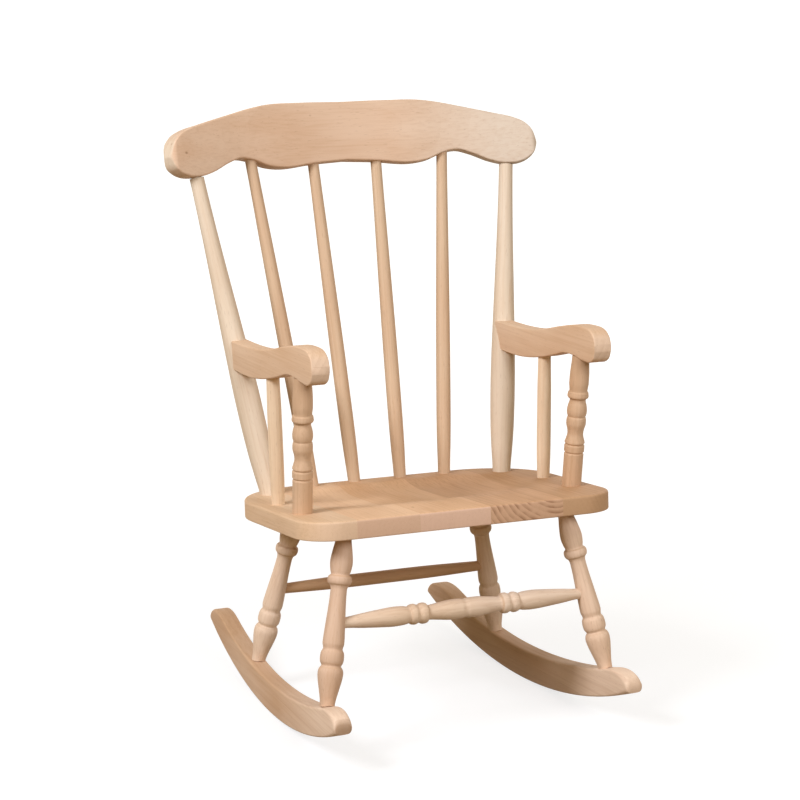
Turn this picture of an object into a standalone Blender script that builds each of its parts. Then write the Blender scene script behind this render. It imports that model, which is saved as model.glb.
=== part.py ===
"""Child's Boston rocker in pale unfinished wood: 22 separate pieces with bored and tenoned joints.

Front faces -Y, the sitter's left is +X, +Z is up. The origin is on the floor under the middle of the
bounding box. Lengths below are in millimetres, drawn with the chair level and then tipped to its balance.
"""

import math

import bmesh
import bpy
from mathutils import Vector

MM = 0.001

# Fits and mesh density
CLEARANCE = 0.3
BORE_SEGMENTS = 16
EDGE_LIMIT = 0.45

# Seat: a board with rounded corners, sloping down to the back, hollowed on top
SEAT_WIDTH = 400.0
SEAT_FRONT_Y = -178.0
SEAT_BACK_Y = 97.0
SEAT_THICKNESS = 22.0
SEAT_HEIGHT = 258.6
SEAT_SLOPE = math.radians(4.4)
SEAT_FRONT_CORNER = 46.0
SEAT_BACK_CORNER = 92.0
SEAT_TOP_ROUND = 4.5
SEAT_UNDER_CHAMFER = 1.5
SEAT_SOCKET_DEPTH = 14.0
LEG_SOCKET_DEPTH = 10.0
SCOOP_HALF_WIDTH = 152.0
SCOOP_HALF_DEPTH = 80.0
SCOOP_CENTRE_Y = -20.0
SCOOP_DEPTH = 7.0
SCOOP_SQUARENESS = 3.0
CORNER_STEPS = 7
SEAT_EDGE_STEP = 38.0
SCOOP_RINGS = (1.0, 0.93, 0.84, 0.7, 0.4)

# Rockers: boards sawn to an arc, toed in towards the back
ROCKER_RADIUS = 644.0
ROCKER_LOW_Y = -3.0
ROCKER_FRONT_Y = -243.0
ROCKER_BACK_Y = 242.0
ROCKER_THICKNESS = 22.0
ROCKER_HEIGHT = 37.0
ROCKER_TOP_RADIUS = 797.0
ROCKER_TOP_LOW_Y = 8.6
ROCKER_HALF_SPACING = 169.6
ROCKER_TOE = math.radians(3.6)
ROCKER_CHAMFER = 1.2
ROCKER_FLAT = 40.0
ROCKER_STEP = 20.0
ROCKER_NOSE = 26.0
ROCKER_TAIL = 20.0
ROCKER_END_FALL = 0.72
ROCKER_END_STEPS = (0.0, 0.04, 0.15, 0.35, 0.65, 1.0)

# Balance: tipped back about the centre of the rockers' arc until the centre of mass hangs under it
POISE = math.radians(1.96)
FRAME_Y = 20.8

# Legs: four alike, from the seat's underside to the rockers' top
FRONT_LEG_TOP = (141.5, -142.0)
REAR_LEG_TOP = (120.0, 55.0)
FRONT_LEG_FOOT_Y = -183.0
REAR_LEG_FOOT_Y = 80.0
LEG_FOOT_TENON_RADIUS = 6.0
LEG_FOOT_TENON = 18.0
LEG_SEGMENTS = 14
# share of the length from the seat, diameter
LEG_PROFILE = (
    (0.03, 18.4), (0.09, 22.6), (0.163, 26.0), (0.21, 23.6), (0.232, 21.4), (0.243, 26.0), (0.265, 27.8),
    (0.286, 25.4), (0.296, 21.4), (0.339, 18.8), (0.42, 20.0), (0.53, 22.8), (0.632, 24.8), (0.664, 22.4),
    (0.684, 26.0), (0.715, 27.4), (0.744, 26.2), (0.763, 22.6), (0.779, 26.8), (0.806, 29.2), (0.84, 28.0),
    (0.91, 22.4), (0.96, 18.4),
)
LEG_FOOT = 16.8

# Stretchers: turned at the front, plain at the back
FRONT_STRETCHER_DROP = 0.52
REAR_STRETCHER_DROP = 0.53
STRETCHER_SHORT = 2.0
STRETCHER_CAP = 0.1
STRETCHER_SEGMENTS = 14
# share of the half length from the middle, diameter
FRONT_STRETCHER_HALF = (
    (0.0, 21.6), (0.035, 23.4), (0.12, 23.2), (0.21, 19.6), (0.285, 17.2), (0.3, 22.6), (0.335, 24.4),
    (0.365, 21.0), (0.395, 24.2), (0.425, 22.4), (0.437, 19.6), (0.475, 21.6), (0.55, 22.8), (0.66, 20.6),
    (0.8, 16.6), (0.91, 12.8),
)
STRETCHER_END = 12.4
REAR_STRETCHER_HALF = ((0.0, 16.0), (0.45, 15.6), (0.8, 13.4), (0.91, 12.6))

# Back: two posts and four spindles from the seat up into the crest rail
POST_BASE = (156.0, 52.0)
OUTER_SPINDLE_BASE = (89.0, 79.0)
INNER_SPINDLE_BASE = (31.0, 85.0)
# share of the crest rail's half length from its middle
POST_TOP_SHARE = 0.842
OUTER_SPINDLE_TOP_SHARE = 0.522
INNER_SPINDLE_TOP_SHARE = 0.172
POST_SEGMENTS = 16
SPINDLE_SEGMENTS = 12
# share of the length from the seat, diameter
POST_PROFILE = (
    (0.02, 23.0), (0.07, 26.0), (0.13, 28.8), (0.21, 30.4), (0.29, 30.8), (0.38, 29.8), (0.45, 28.4),
    (0.595, 24.8), (0.77, 20.4), (0.885, 18.4), (0.96, 17.6),
)
POST_TOP = 17.4
POST_TENON_RADIUS = 6.5
POST_TENON = 24.0
SPINDLE_PROFILE = ((0.03, 15.6), (0.09, 17.0), (0.2, 18.0), (0.42, 17.8), (0.7, 15.8), (0.93, 13.8))
SPINDLE_TOP = 13.6
SPINDLE_IN_CREST = 22.0
SPINDLE_NECK = 0.985

# Crest rail: bowed in plan, leaning with the posts, scalloped below
CREST_HALF_LENGTH = 247.0
CREST_THICKNESS = 22.0
CREST_BOW_RADIUS = 640.0
CREST_Y = 185.0
CREST_REFERENCE_Z = 633.7
CREST_LEAN = math.radians(13.5)
CREST_EDGE = 4.0
CREST_END_ROUND = 7.0
CREST_STATIONS = 39
CREST_CROWDING = 0.55
# share of the half length from the middle, height above the floor
CREST_TOP_EDGE = (
    (0.0, 709.2), (0.2429, 710.0), (0.413, 709.6), (0.5182, 706.2), (0.6559, 699.4), (0.7935, 692.2),
    (0.9028, 685.8), (0.9575, 678.4), (0.9887, 667.4), (1.0, 656.5),
)
CREST_LOW_EDGE = (
    (0.0, 638.2), (0.1822, 635.8), (0.332, 632.6), (0.4372, 635.8), (0.5263, 644.2), (0.5951, 647.2),
    (0.668, 642.8), (0.7611, 633.6), (0.8421, 629.8), (0.9069, 631.2), (0.9575, 637.2), (0.9887, 646.0),
    (1.0, 655.0),
)

# Arms: sawn to a scroll, carried by a turned post and a spindle, tenoned into the back posts
ARM_X = 178.0
ARM_THICKNESS = 22.0
ARM_EDGE = 3.0
ARM_FRONT_Y = -165.0
ARM_STATIONS = 26
ARM_FRONT_CROWDING = 1.4
# distance from the front end, height above the floor
ARM_TOP_EDGE = (
    (0.0, 446.7), (2.5, 453.2), (8.0, 458.7), (17.0, 462.3), (28.0, 463.2), (55.0, 461.2), (90.0, 453.7),
    (125.0, 445.2), (160.0, 438.9), (205.0, 435.1), (265.0, 434.3),
)
ARM_LOW_EDGE = (
    (0.0, 438.7), (2.5, 431.7), (8.0, 426.7), (20.0, 424.1), (32.0, 424.7), (52.0, 427.1), (76.0, 426.7),
    (105.0, 419.2), (140.0, 411.1), (180.0, 404.9), (215.0, 403.1), (265.0, 404.1),
)
ARM_TENON_RADIUS = 5.0
ARM_TENON = 11.0
ARM_POST_BASE = (174.4, -99.0)
ARM_POST_TOP_Y = -112.0
ARM_SPINDLE_BASE = (175.0, -25.0)
ARM_SPINDLE_TOP_Y = -19.0
ARM_SOCKET_DEPTH = 13.0
ARM_SOCKET_RADIUS = 5.5
ARM_POST_SEGMENTS = 14
# share of the length from the seat, diameter
ARM_POST_PROFILE = (
    (0.05, 23.4), (0.247, 23.4), (0.258, 21.8), (0.27, 24.2), (0.312, 24.2), (0.322, 21.8), (0.335, 24.2),
    (0.365, 21.6), (0.405, 19.0), (0.435, 20.0), (0.484, 23.6), (0.527, 22.4), (0.536, 21.0), (0.545, 22.4),
    (0.579, 24.0), (0.62, 22.4), (0.667, 19.4), (0.682, 20.4), (0.692, 24.2), (0.736, 24.4), (0.748, 22.0),
    (0.79, 23.4), (0.87, 23.0), (0.95, 21.2),
)
ARM_POST_TOP = 20.6
ARM_SPINDLE_PROFILE = ((0.05, 15.6), (0.2, 16.8), (0.7, 17.0), (0.92, 16.0))
ARM_SPINDLE_TOP = 15.6

WOOD_COLOUR = (0.62, 0.43, 0.28, 1.0)
WOOD_ROUGHNESS = 0.6
SIDES = (("left", 1.0), ("right", -1.0))
SMOOTH_BELOW = math.radians(38.0)


def clear_scene():
    for old in list(bpy.data.objects):
        bpy.data.objects.remove(old, do_unlink=True)


def wood(name):
    material = bpy.data.materials.new(name)
    material.use_nodes = True
    shader = material.node_tree.nodes["Principled BSDF"]
    shader.inputs["Base Color"].default_value = WOOD_COLOUR
    shader.inputs["Roughness"].default_value = WOOD_ROUGHNESS
    shader.inputs["Metallic"].default_value = 0.0
    return material


def placed(point):
    """Where a drawn point lies once the chair is tipped back and moved to its origin."""
    y = point.y - ROCKER_LOW_Y
    z = point.z - ROCKER_RADIUS
    back = y * math.cos(POISE) + z * math.sin(POISE)
    rise = z * math.cos(POISE) - y * math.sin(POISE)
    return Vector((point.x, FRAME_Y + ROCKER_LOW_Y + back, ROCKER_RADIUS + rise))


def add_object(name, rings, wire=False):
    """A closed solid skinned over rings of points, each ring in the same order, with a cap on both ends."""
    mesh = bpy.data.meshes.new(name)
    shape = bmesh.new()
    loops = [[shape.verts.new(placed(point) * MM) for point in ring] for ring in rings]
    count = len(loops[0])
    for low, high in zip(loops, loops[1:]):
        for i in range(count):
            j = (i + 1) % count
            shape.faces.new((low[i], low[j], high[j], high[i]))
    shape.faces.new(list(reversed(loops[0])))
    shape.faces.new(loops[-1])
    bmesh.ops.recalc_face_normals(shape, faces=shape.faces)
    shape.to_mesh(mesh)
    shape.free()
    mesh.shade_smooth()
    mesh.set_sharp_from_angle(angle=SMOOTH_BELOW)
    item = bpy.data.objects.new(name, mesh)
    bpy.context.scene.collection.objects.link(item)
    if wire:
        item.hide_render = True
        item.display_type = "WIRE"
    else:
        mesh.materials.append(wood(name + "_wood"))
    return item


def frame_along(axis):
    """Two unit vectors square to an axis."""
    first = axis.cross(Vector((0.0, 0.0, 1.0)) if abs(axis.z) < 0.9 else Vector((1.0, 0.0, 0.0))).normalized()
    return first, axis.cross(first).normalized()


def ring_at(centre, axis, radius, segments, plane=None):
    """A ring of points round an axis, square to it or lying in a plane given as a point and a normal."""
    first, second = frame_along(axis)
    ring = []
    for i in range(segments):
        angle = math.tau * i / segments
        point = centre + (first * math.cos(angle) + second * math.sin(angle)) * radius
        if plane is not None:
            spot, normal = plane
            point = point + axis * ((spot - point).dot(normal) / axis.dot(normal))
        ring.append(point)
    return ring


def rod(name, start, end, radius, segments=BORE_SEGMENTS):
    """A plain cutter or tenon between two points."""
    axis = (end - start).normalized()
    rings = [ring_at(start, axis, radius, segments), ring_at(end, axis, radius, segments)]
    return add_object(name, rings, wire=True)


def combine(item, tool, operation):
    step = item.modifiers.new(tool.name, "BOOLEAN")
    step.operation = operation
    step.solver = "EXACT"
    step.object = tool


def turned(name, start, end, profile, segments, sunk, end_diameter, tenon=None):
    """A turning from start, where it is sunk into a socket, to end, where it is sunk or stands on a tenon.

    tenon is the plane it shoulders against as (point, normal), then the tenon's radius and its length.
    """
    axis = (end - start).normalized()
    length = (end - start).length
    rings = [ring_at(start - axis * sunk, axis, profile[0][1] / 2, segments)]
    rings += [ring_at(start + axis * length * share, axis, size / 2, segments) for share, size in profile]
    if tenon is None:
        rings.append(ring_at(end, axis, end_diameter / 2, segments))
    else:
        spot, normal, radius, reach = tenon
        plane = (spot + normal * CLEARANCE, normal)
        rings.append(ring_at(end, axis, end_diameter / 2, segments, plane))
        rings.append(ring_at(end, axis, radius, segments, plane))
        rings.append(ring_at(end + axis * reach, axis, radius, segments))
    return add_object(name, rings)


def curve_through(points, x):
    """Height at x on a smooth curve through a few points (a monotone-step Hermite curve)."""
    if x <= points[0][0]:
        return points[0][1]
    if x >= points[-1][0]:
        return points[-1][1]
    slopes = [(b[1] - a[1]) / (b[0] - a[0]) for a, b in zip(points, points[1:])]
    for i, (low, high) in enumerate(zip(points, points[1:])):
        if x > high[0]:
            continue
        tangents = []
        for j in (i, i + 1):
            before = slopes[max(j - 1, 0)]
            after = slopes[min(j, len(slopes) - 1)]
            flat = before * after <= 0.0
            tangents.append(0.0 if flat and 0 < j < len(slopes) else (before + after) / 2)
        span = high[0] - low[0]
        t = (x - low[0]) / span
        return (
            (2 * t**3 - 3 * t**2 + 1) * low[1]
            + (t**3 - 2 * t**2 + t) * span * tangents[0]
            + (3 * t**2 - 2 * t**3) * high[1]
            + (t**3 - t**2) * span * tangents[1]
        )


def board_section(low, high, across, thickness, edge, rounded=True):
    """A board's cross-section between a low and a high point, its four edges rounded or plainly chamfered."""
    up = (high - low).normalized()
    height = (high - low).length
    edge = min(edge, EDGE_LIMIT * height, EDGE_LIMIT * thickness)
    half = thickness / 2
    inset = edge * (1 - math.sqrt(0.5))
    middle = ((half - inset, inset),) if rounded else ()
    corner = ((half, edge), *middle, (half - edge, 0.0))
    right_low = [(side, rise) for side, rise in corner]
    left_low = [(-side, rise) for side, rise in reversed(corner)]
    left_high = [(-side, height - rise) for side, rise in corner]
    right_high = [(side, height - rise) for side, rise in reversed(corner)]
    return [low + across * side + up * rise for side, rise in right_low + left_low + left_high + right_high]


def end_spaced(count, squeeze):
    """Numbers from -1 to 1 that crowd towards both ends."""
    steps = [2 * i / (count - 1) - 1 for i in range(count)]
    return [s * (1 - squeeze) + math.sin(s * math.pi / 2) * squeeze for s in steps]


def seat_top(x, y):
    """Point of the seat's flat top plane at x, y."""
    return Vector((x, y, SEAT_HEIGHT - math.tan(SEAT_SLOPE) * y))


SEAT_NORMAL = Vector((0.0, math.sin(SEAT_SLOPE), math.cos(SEAT_SLOPE)))


def seat_outline(inset):
    """The seat's plan, drawn in by inset, from the middle of the front round by +X."""
    corners = (
        (1.0, SEAT_FRONT_Y + SEAT_FRONT_CORNER, SEAT_FRONT_CORNER, -90.0),
        (1.0, SEAT_BACK_Y - SEAT_BACK_CORNER, SEAT_BACK_CORNER, 0.0),
        (-1.0, SEAT_BACK_Y - SEAT_BACK_CORNER, SEAT_BACK_CORNER, 90.0),
        (-1.0, SEAT_FRONT_Y + SEAT_FRONT_CORNER, SEAT_FRONT_CORNER, 180.0),
    )
    plan = []
    for side, centre_y, radius, start in corners:
        centre_x = side * (SEAT_WIDTH / 2 - radius)
        for i in range(CORNER_STEPS + 1):
            angle = math.radians(start + 90.0 * i / CORNER_STEPS)
            reach = radius - inset
            plan.append((centre_x + reach * math.cos(angle), centre_y + reach * math.sin(angle)))
    dense = []
    for (x0, y0), (x1, y1) in zip(plan, plan[1:] + plan[:1]):
        pieces = max(1, round(math.hypot(x1 - x0, y1 - y0) / SEAT_EDGE_STEP))
        dense += [(x0 + (x1 - x0) * i / pieces, y0 + (y1 - y0) * i / pieces) for i in range(pieces)]
    return dense


def scoop_outline(share):
    """The hollow's edge seen from above, scaled about its middle, point for point with the seat's plan."""
    points = []
    for x, y in seat_outline(0.0):
        dx = x / SCOOP_HALF_WIDTH
        dy = (y - SCOOP_CENTRE_Y) / SCOOP_HALF_DEPTH
        size = (abs(dx) ** SCOOP_SQUARENESS + abs(dy) ** SCOOP_SQUARENESS) ** (1 / SCOOP_SQUARENESS)
        points.append((x * share / size, SCOOP_CENTRE_Y + (y - SCOOP_CENTRE_Y) * share / size))
    return points


def build_seat():
    def ring(plan, depth):
        return [seat_top(x, y) - SEAT_NORMAL * depth for x, y in plan]

    turn = SEAT_TOP_ROUND * (1 - math.sqrt(0.5))
    rings = [
        ring(seat_outline(SEAT_UNDER_CHAMFER), SEAT_THICKNESS),
        ring(seat_outline(0.0), SEAT_THICKNESS - SEAT_UNDER_CHAMFER),
        ring(seat_outline(0.0), SEAT_TOP_ROUND),
        ring(seat_outline(turn), turn),
        ring(seat_outline(SEAT_TOP_ROUND), 0.0),
    ]
    for share in SCOOP_RINGS:
        depth = SCOOP_DEPTH * (1 - ((share - SCOOP_RINGS[-1]) / (1 - SCOOP_RINGS[-1])) ** 2)
        rings.append(ring(scoop_outline(share), depth))
    return add_object("seat", rings)


def bore(item, name, start, end, radius):
    combine(item, rod("bore_" + name, start, end, radius + CLEARANCE), "DIFFERENCE")


def bore_seat(seat, name, start, axis, radius):
    """A socket in the seat's top for a turning that rises along axis from start."""
    bottom = start - axis * (SEAT_SOCKET_DEPTH + CLEARANCE)
    bore(seat, name + "_base", start + axis * SEAT_SOCKET_DEPTH, bottom, radius)


def rocker_high(y):
    away = y - ROCKER_TOP_LOW_Y
    return ROCKER_HEIGHT + ROCKER_TOP_RADIUS - math.sqrt(ROCKER_TOP_RADIUS**2 - away**2)


def rocker_point(side, y, z):
    """Point of a rocker's middle plane at y and z."""
    return Vector((side * (ROCKER_HALF_SPACING - y * math.tan(ROCKER_TOE)), y, z))


def build_rocker(label, side):
    """The arc is cut in short steps, with a longer flat where the chair stands once it is tipped back."""
    flat = ROCKER_FLAT / 2 / ROCKER_RADIUS
    step = ROCKER_STEP / ROCKER_RADIUS
    radius = ROCKER_RADIUS / math.cos(flat)
    front = math.asin((ROCKER_FRONT_Y - ROCKER_LOW_Y) / radius)
    back = math.asin((ROCKER_BACK_Y - ROCKER_LOW_Y) / radius)
    nose = [front + ROCKER_NOSE / radius * share for share in ROCKER_END_STEPS]
    tail = [back - ROCKER_TAIL / radius * share for share in reversed(ROCKER_END_STEPS)]
    count = math.ceil((back - front) / step)
    middle = sorted(POISE + way * (flat + i * step) for i in range(count) for way in (-1.0, 1.0))
    turns = nose + [turn for turn in middle if nose[-1] < turn < tail[0]] + tail
    across = Vector((side, 0.0, 0.0))
    width = ROCKER_THICKNESS / math.cos(ROCKER_TOE)
    rings = []
    for turn in turns:
        y = ROCKER_LOW_Y + radius * math.sin(turn)
        low = ROCKER_RADIUS - radius * math.cos(turn)
        high = rocker_high(y)
        ends = ((y - ROCKER_FRONT_Y, ROCKER_NOSE), (ROCKER_BACK_Y - y, ROCKER_TAIL))
        for reach, round_over in ends:
            if reach < round_over:
                part = 1 - max(reach, 0.0) / round_over
                fall = 1 - math.sqrt(1 - part**2)
                high -= fall * min(round_over, ROCKER_END_FALL * (high - low))
        bottom = rocker_point(side, y, low)
        top = rocker_point(side, y, high)
        rings.append(board_section(bottom, top, across, width, ROCKER_CHAMFER, rounded=False))
    return add_object("rocker_" + label, rings)


def leg_ends(side, top, foot_y):
    """Where a leg leaves the seat's underside and meets its rocker, and the rocker's top there."""
    start = seat_top(side * top[0], top[1]) - SEAT_NORMAL * SEAT_THICKNESS
    middle = rocker_point(side, foot_y, rocker_high(foot_y) - LEG_FOOT_TENON / 2)
    away = foot_y - ROCKER_TOP_LOW_Y
    normal = Vector((0.0, -away, math.sqrt(ROCKER_TOP_RADIUS**2 - away**2))).normalized()
    spot = rocker_point(side, foot_y, rocker_high(foot_y))
    axis = (middle - start).normalized()
    end = start + axis * ((spot - start).dot(normal) / axis.dot(normal))
    return start, end, (spot, normal)


def build_leg(name, side, top, foot_y, seat, rocker):
    start, end, (spot, normal) = leg_ends(side, top, foot_y)
    leg = turned(
        name, start, end, LEG_PROFILE, LEG_SEGMENTS, LEG_SOCKET_DEPTH, LEG_FOOT,
        (spot, normal, LEG_FOOT_TENON_RADIUS, LEG_FOOT_TENON),
    )
    axis = (end - start).normalized()
    sunk = axis * (LEG_SOCKET_DEPTH + CLEARANCE)
    bore(seat, name + "_top", start + axis * LEG_SOCKET_DEPTH, start - sunk, LEG_PROFILE[0][1] / 2)
    reach = axis * (LEG_FOOT_TENON + CLEARANCE)
    bore(rocker, name + "_foot", end - axis * LEG_FOOT_TENON_RADIUS, end + reach, LEG_FOOT_TENON_RADIUS)
    return leg


def build_stretcher(name, half_profile, top, foot_y, drop, legs):
    start, end, _ = leg_ends(1.0, top, foot_y)
    on_leg = start.lerp(end, drop)
    tip = on_leg - Vector((STRETCHER_SHORT, 0.0, 0.0))
    far = Vector((-tip.x, tip.y, tip.z))
    shares = [(0.5 - share / 2, size) for share, size in reversed(half_profile)]
    shares += [(0.5 + share / 2, size) for share, size in half_profile[1:]]
    bar = turned(name, far, tip, [(0.0, STRETCHER_END)] + shares, STRETCHER_SEGMENTS, STRETCHER_CAP,
                 STRETCHER_END)
    for label, side in SIDES:
        inner = Vector((side * (tip.x + CLEARANCE), tip.y, tip.z))
        outer = Vector((side * (tip.x - 2 * LEG_PROFILE[5][1]), tip.y, tip.z))
        bore(legs[label], name + "_" + label, outer, inner, half_profile[-1][1] / 2)
    return bar


def crest_point(x, z, across=0.0):
    """Point of the crest rail's middle surface at x and height z, or that far behind it."""
    y = CREST_Y - x * x / (2 * CREST_BOW_RADIUS) + math.tan(CREST_LEAN) * (z - CREST_REFERENCE_Z)
    return Vector((x, y, z)) + crest_across(x) * across


def crest_across(x):
    slope = x / CREST_BOW_RADIUS
    flat = Vector((slope, 1.0, 0.0)).normalized()
    return Vector((flat.x, flat.y * math.cos(CREST_LEAN), -math.sin(CREST_LEAN))).normalized()


def build_crest():
    rings = []
    for share in end_spaced(CREST_STATIONS, CREST_CROWDING):
        x = share * CREST_HALF_LENGTH
        low = crest_low_point(x)
        high = crest_point(x, curve_through(CREST_TOP_EDGE, abs(share)))
        into = max(0.0, 1 - (CREST_HALF_LENGTH - abs(x)) / CREST_END_ROUND)
        thickness = CREST_THICKNESS - 2 * CREST_END_ROUND * (1 - math.sqrt(1 - into**2))
        rings.append(board_section(low, high, crest_across(x), thickness, CREST_EDGE))
    return add_object("crest_rail", rings)


def crest_low_point(x):
    return crest_point(x, curve_through(CREST_LOW_EDGE, abs(x) / CREST_HALF_LENGTH))


def crest_shoulder(x, radius):
    """A point on the flat just under the crest rail's lower edge around x, and its downward normal."""
    edge = [crest_low_point(x + radius * share) for share in (-1.0, -0.5, 0.0, 0.5, 1.0)]
    normal = (edge[-1] - edge[0]).cross(crest_across(x)).normalized()
    if normal.z > 0.0:
        normal = -normal
    return edge[2] + normal * max((point - edge[2]).dot(normal) for point in edge), normal


def build_upright(name, side, base, top_share, profile, segments, top_size, seat, crest, tenon=None):
    start = seat_top(side * base[0], base[1])
    spot, normal = crest_shoulder(side * top_share * CREST_HALF_LENGTH, top_size / 2)
    axis = (spot - start).normalized()
    if tenon is None:
        end = spot + axis * SPINDLE_IN_CREST
        radius = top_size / 2
        reach = SPINDLE_IN_CREST
        shown = (spot - start).length / (end - start).length
        shares = [(share * shown, size) for share, size in profile] + [(SPINDLE_NECK * shown, top_size)]
        item = turned(name, start, end, shares, segments, SEAT_SOCKET_DEPTH, top_size)
    else:
        radius, reach = tenon
        shoulder = (spot, normal, radius, reach)
        item = turned(name, start, spot, profile, segments, SEAT_SOCKET_DEPTH, top_size, shoulder)
    bore_seat(seat, name, start, axis, profile[0][1] / 2)
    bore(crest, name + "_top", spot - axis * 2 * radius, spot + axis * (reach + CLEARANCE), radius)
    return item


def arm_low(y):
    return curve_through(ARM_LOW_EDGE, y - ARM_FRONT_Y)


def arm_shoulder(y, radius):
    """Height and slope of the flat that lies just under the arm's curved underside around y."""
    front = arm_low(y - radius)
    back = arm_low(y + radius)
    rise = (back - front) / (2 * radius)
    middle = (front + back) / 2
    sag = min(arm_low(y + radius * share) - middle - rise * radius * share for share in (-0.5, 0.0, 0.5))
    return middle + min(sag, 0.0), rise


def build_arm(label, side, post_base, post_spot):
    """The arm's back end is coped to the round post and carries a tenon that enters it."""
    post_axis = (post_spot - post_base).normalized()
    middle_z = (ARM_TOP_EDGE[-1][1] + ARM_LOW_EDGE[-1][1]) / 2
    on_axis = post_base + post_axis * ((middle_z - post_base.z) / post_axis.z)
    length = on_axis.y - ARM_FRONT_Y
    share = (on_axis - post_base).length / (post_spot - post_base).length
    post_radius = curve_through(POST_PROFILE, share) / 2
    across = Vector((side, 0.0, 0.0))
    rings = []
    for i in range(ARM_STATIONS):
        along = length * (i / (ARM_STATIONS - 1)) ** ARM_FRONT_CROWDING
        low = Vector((side * ARM_X, ARM_FRONT_Y + along, curve_through(ARM_LOW_EDGE, along)))
        high = Vector((side * ARM_X, ARM_FRONT_Y + along, curve_through(ARM_TOP_EDGE, along)))
        rings.append(board_section(low, high, across, ARM_THICKNESS, ARM_EDGE))
    arm = add_object("arm_" + label, rings)
    grown = [
        ring_at(post_base.lerp(post_spot, share), post_axis, size / 2 + CLEARANCE, POST_SEGMENTS)
        for share, size in POST_PROFILE
    ]
    combine(arm, add_object("cope_" + label, grown, wire=True), "DIFFERENCE")
    tip = Vector((on_axis.x, on_axis.y - post_radius + ARM_TENON, on_axis.z))
    root = Vector((side * ARM_X, on_axis.y - 3 * post_radius, on_axis.z))
    combine(arm, rod("tenon_arm_" + label, root, tip, ARM_TENON_RADIUS), "UNION")
    return arm, root, tip


def build_arm_support(name, side, base, top_y, profile, segments, top_size, seat, arm):
    start = seat_top(side * base[0], base[1])
    height, rise = arm_shoulder(top_y, top_size / 2)
    spot = Vector((side * ARM_X, top_y, height))
    normal = Vector((0.0, rise, -1.0)).normalized()
    axis = (spot - start).normalized()
    shoulder = (spot, normal, ARM_SOCKET_RADIUS, ARM_SOCKET_DEPTH)
    item = turned(name, start, spot, profile, segments, SEAT_SOCKET_DEPTH, top_size, shoulder)
    bore_seat(seat, name, start, axis, profile[0][1] / 2)
    bottom = spot + axis * (ARM_SOCKET_DEPTH + CLEARANCE)
    bore(arm, name + "_top", spot - axis * ARM_SOCKET_DEPTH, bottom, ARM_SOCKET_RADIUS)
    return item


def main():
    clear_scene()
    seat = build_seat()
    crest = build_crest()
    front_legs = {}
    rear_legs = {}
    for label, side in SIDES:
        rocker = build_rocker(label, side)
        front_legs[label] = build_leg(
            "front_leg_" + label, side, FRONT_LEG_TOP, FRONT_LEG_FOOT_Y, seat, rocker
        )
        rear_legs[label] = build_leg("rear_leg_" + label, side, REAR_LEG_TOP, REAR_LEG_FOOT_Y, seat, rocker)
        post = build_upright(
            "back_post_" + label, side, POST_BASE, POST_TOP_SHARE, POST_PROFILE, POST_SEGMENTS, POST_TOP,
            seat, crest, (POST_TENON_RADIUS, POST_TENON),
        )
        build_upright(
            "back_spindle_outer_" + label, side, OUTER_SPINDLE_BASE, OUTER_SPINDLE_TOP_SHARE, SPINDLE_PROFILE,
            SPINDLE_SEGMENTS, SPINDLE_TOP, seat, crest,
        )
        build_upright(
            "back_spindle_inner_" + label, side, INNER_SPINDLE_BASE, INNER_SPINDLE_TOP_SHARE, SPINDLE_PROFILE,
            SPINDLE_SEGMENTS, SPINDLE_TOP, seat, crest,
        )
        post_base = seat_top(side * POST_BASE[0], POST_BASE[1])
        post_spot, _ = crest_shoulder(side * POST_TOP_SHARE * CREST_HALF_LENGTH, POST_TOP / 2)
        arm, root, tip = build_arm(label, side, post_base, post_spot)
        bore(post, "arm_" + label, root, tip + Vector((0.0, CLEARANCE, 0.0)), ARM_TENON_RADIUS)
        build_arm_support(
            "arm_post_" + label, side, ARM_POST_BASE, ARM_POST_TOP_Y, ARM_POST_PROFILE, ARM_POST_SEGMENTS,
            ARM_POST_TOP, seat, arm,
        )
        build_arm_support(
            "arm_spindle_" + label, side, ARM_SPINDLE_BASE, ARM_SPINDLE_TOP_Y, ARM_SPINDLE_PROFILE,
            SPINDLE_SEGMENTS, ARM_SPINDLE_TOP, seat, arm,
        )
    build_stretcher(
        "front_stretcher", FRONT_STRETCHER_HALF, FRONT_LEG_TOP, FRONT_LEG_FOOT_Y, FRONT_STRETCHER_DROP,
        front_legs,
    )
    build_stretcher(
        "rear_stretcher", REAR_STRETCHER_HALF, REAR_LEG_TOP, REAR_LEG_FOOT_Y, REAR_STRETCHER_DROP, rear_legs
    )


main()
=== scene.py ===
"""Child's Boston rocker in sanded, unfinished rubberwood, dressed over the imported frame.

Lengths are in millimetres. Each piece is drawn with the chair level, then tipped back to its balance, which
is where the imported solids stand. The sitter faces -Y and the sitter's left is +X.
"""

import math

import bmesh
import bpy
from mathutils import Euler, Matrix, Vector


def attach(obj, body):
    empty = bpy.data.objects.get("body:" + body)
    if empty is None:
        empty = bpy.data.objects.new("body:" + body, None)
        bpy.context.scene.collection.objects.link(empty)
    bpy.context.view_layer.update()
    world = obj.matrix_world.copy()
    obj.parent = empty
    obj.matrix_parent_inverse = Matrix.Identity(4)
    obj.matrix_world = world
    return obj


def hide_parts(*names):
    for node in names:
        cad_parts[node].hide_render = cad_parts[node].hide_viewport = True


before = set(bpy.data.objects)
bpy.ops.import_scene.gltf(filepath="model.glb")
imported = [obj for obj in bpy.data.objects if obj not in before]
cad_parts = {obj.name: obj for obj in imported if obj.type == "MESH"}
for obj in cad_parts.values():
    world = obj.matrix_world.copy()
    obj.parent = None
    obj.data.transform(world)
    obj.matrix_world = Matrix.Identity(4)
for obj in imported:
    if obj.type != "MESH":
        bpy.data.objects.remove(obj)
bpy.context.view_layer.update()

MM = 0.001
SIDES = (("left", 1.0), ("right", -1.0))

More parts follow.
